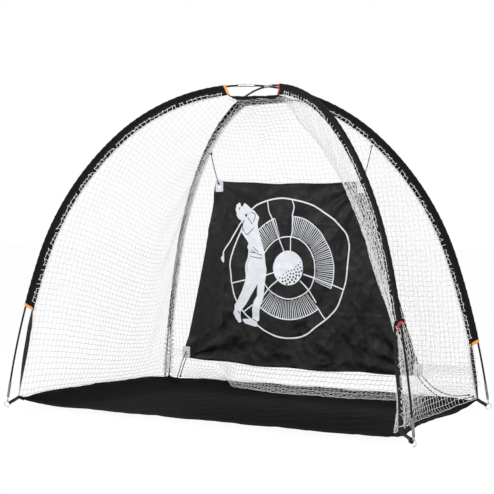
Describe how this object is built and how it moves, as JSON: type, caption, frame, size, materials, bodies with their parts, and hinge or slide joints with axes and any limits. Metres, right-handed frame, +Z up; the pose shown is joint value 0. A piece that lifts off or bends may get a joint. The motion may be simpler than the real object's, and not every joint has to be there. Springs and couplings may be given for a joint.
{
  "type": "golf chipping net",
  "caption": "Free-standing half-dome chipping net on two crossed bent poles, with net on three sides, a cloth floor and a hung target sheet.",
  "frame": {"origin": "on the ground, under the middle of the object's outer box", "axes": "+X along the front edge to the viewer's right, -Y out of the open front, +Z up"},
  "size_m": [1.9541, 1.0442, 1.4035],
  "materials": {
    "pole": "glossy black pultruded tube",
    "ferrule": "satin",
    "tip": "dull grey",
    "pin": "zinc plated",
    "ring": "nickel plated",
    "shock_cord": "braided elastic",
    "sleeve_cloth": "woven polyester",
    "webbing": "woven tape",
    "orange_tape": "folded tape",
    "red_tape": "folded tape",
    "floor_cloth": "woven polyester",
    "net": "knotted twine",
    "target_cloth": "printed woven polyester",
    "tab_cloth": "woven tape",
    "grommet": "plated",
    "cord": "braided"
  },
  "bodies": {
    "frame": {"back_net_wall": "net", "crown_cloth": "sleeve_cloth", "end_ferrule_back_left": "tip", "end_ferrule_back_right": "tip", "end_ferrule_front_left": "tip", "end_ferrule_front_right": "tip", "floor_sheet": "floor_cloth", "ground_pin_back_left": "pin", "ground_pin_back_right": "pin", "ground_pin_front_left": "pin", "ground_pin_front_right": "pin", "hem_strip_back_left": "webbing", "hem_strip_back_right": "webbing", "hem_strip_front_left": "webbing", "hem_strip_front_right": "webbing", "left_net_wall": "net", "orange_sleeve_bindings": "orange_tape", "pole_a_joining_ferrules": "ferrule", "pole_a_section_1": "pole", "pole_a_section_2": "pole", "pole_a_section_3": "pole", "pole_a_section_4": "pole", "pole_a_section_5": "pole", "pole_a_section_6": "pole", "pole_a_shock_cord": "shock_cord", "pole_b_joining_ferrules": "ferrule", "pole_b_section_1": "pole", "pole_b_section_2": "pole", "pole_b_section_3": "pole", "pole_b_section_4": "pole", "pole_b_section_5": "pole", "pole_b_section_6": "pole", "pole_b_shock_cord": "shock_cord", "red_sleeve_bindings": "red_tape", "right_net_wall": "net", "sleeve_back_left": "sleeve_cloth", "sleeve_back_right": "sleeve_cloth", "sleeve_front_left": "sleeve_cloth", "sleeve_front_right": "sleeve_cloth", "tie_cord_left": "cord", "tie_cord_right": "cord", "webbing_loop_back_left": "webbing", "webbing_loop_back_right": "webbing", "webbing_loop_front_left": "webbing", "webbing_loop_front_right": "webbing"},
    "target_panel": {"target_sheet": "target_cloth", "target_corner_tabs": "tab_cloth", "target_grommets": "grommet", "hanging_cord_left": "cord", "hanging_cord_right": "cord"},
    "ring_front_left": {"ground_ring_front_left": "ring"},
    "ring_back_right": {"ground_ring_back_right": "ring"},
    "ring_front_right": {"ground_ring_front_right": "ring"},
    "ring_back_left": {"ground_ring_back_left": "ring"}
  },
  "joints": [
    {"name": "target_swing", "type": "hinge", "parent": "frame", "child": "target_panel", "pos_m": [0, 0.275, 1.134], "axis": [1, 0, 0], "range_deg": [-3, 6], "deforming": ["tie_cord_left", "tie_cord_right"]},
    {"name": "ring_swivel_front_left", "type": "hinge", "parent": "frame", "child": "ring_front_left", "pos_m": [-0.96449, -0.51391, 0.0282], "axis": [-0.8702, -0.4928, 0], "range_deg": [-12, 12]},
    {"name": "ring_swivel_back_right", "type": "hinge", "parent": "frame", "child": "ring_back_right", "pos_m": [0.85049, 0.51391, 0.0282], "axis": [0.8702, 0.4928, 0], "range_deg": [-12, 12]},
    {"name": "ring_swivel_front_right", "type": "hinge", "parent": "frame", "child": "ring_front_right", "pos_m": [0.96339, -0.51329, 0.0282], "axis": [0.8702, -0.4928, 0], "range_deg": [-12, 12]},
    {"name": "ring_swivel_back_left", "type": "hinge", "parent": "frame", "child": "ring_back_left", "pos_m": [-0.84939, 0.51329, 0.0282], "axis": [-0.8702, 0.4928, 0], "range_deg": [-12, 12]}
  ]
}
